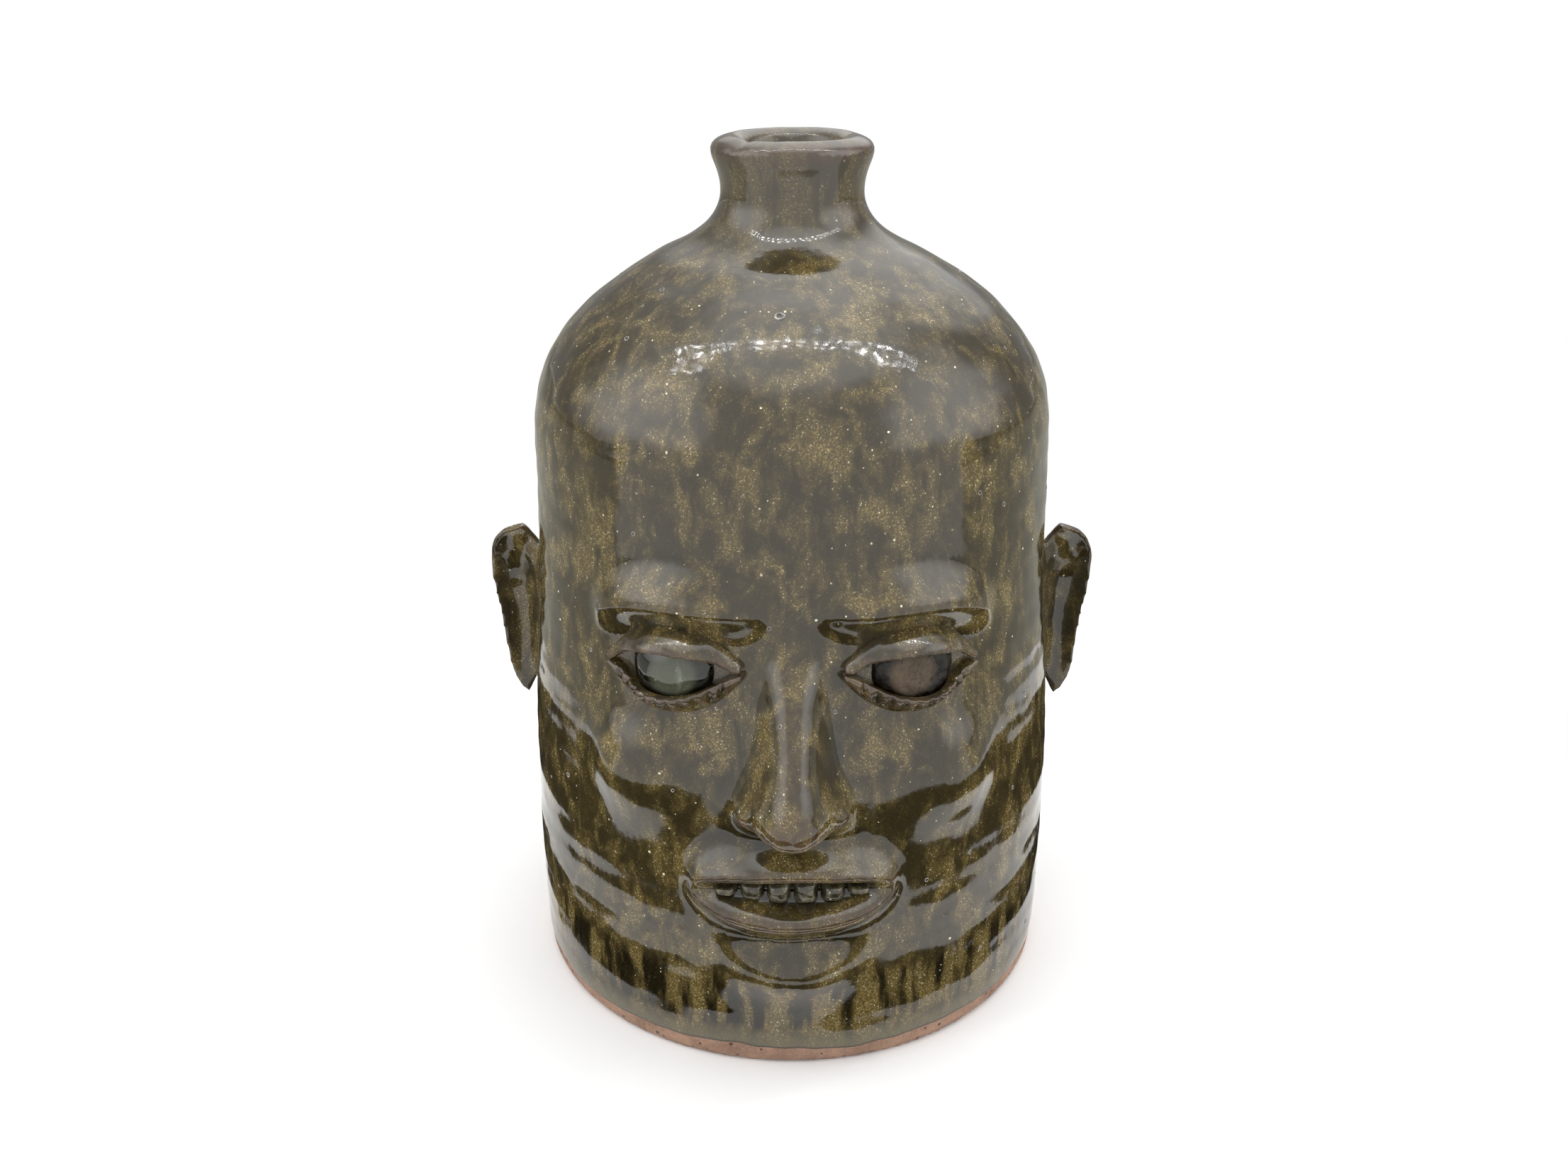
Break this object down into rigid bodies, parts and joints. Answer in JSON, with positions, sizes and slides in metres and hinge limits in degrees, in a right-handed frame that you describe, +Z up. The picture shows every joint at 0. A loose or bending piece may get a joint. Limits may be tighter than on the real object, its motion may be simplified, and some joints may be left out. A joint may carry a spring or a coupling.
{
  "type": "face jug",
  "caption": "Hollow stoneware jug with a domed top, short neck with a rolled lip, rear strap handle and a calm modelled face, glazed brown over a bare foot.",
  "frame": {"origin": "middle of the flat base", "axes": "+Z up through the neck, the face looks along -Y, +X is the jug's own left"},
  "size_m": [0.1786, 0.1738, 0.24],
  "materials": {
    "brown_glaze": "glossy",
    "pale_glaze": "glossy",
    "tooth_glaze": "glossy",
    "bare_clay": "matte"
  },
  "bodies": {
    "root": {"jug_body": "brown_glaze", "rear_handle": "brown_glaze", "brow_left": "brown_glaze", "brow_right": "brown_glaze", "upper_lid_left": "brown_glaze", "upper_lid_right": "brown_glaze", "lower_lid_left": "brown_glaze", "lower_lid_right": "brown_glaze", "eyeball_left": "bare_clay", "eyeball_right": "pale_glaze", "nose": "brown_glaze", "cheek_left": "brown_glaze", "cheek_right": "brown_glaze", "upper_lip": "brown_glaze", "lower_lip": "brown_glaze", "tooth_1": "tooth_glaze", "tooth_2": "tooth_glaze", "tooth_3": "tooth_glaze", "tooth_4": "tooth_glaze", "tooth_5": "tooth_glaze", "tooth_6": "tooth_glaze", "chin": "brown_glaze", "ear_left": "brown_glaze", "ear_right": "brown_glaze"}
  },
  "joints": []
}
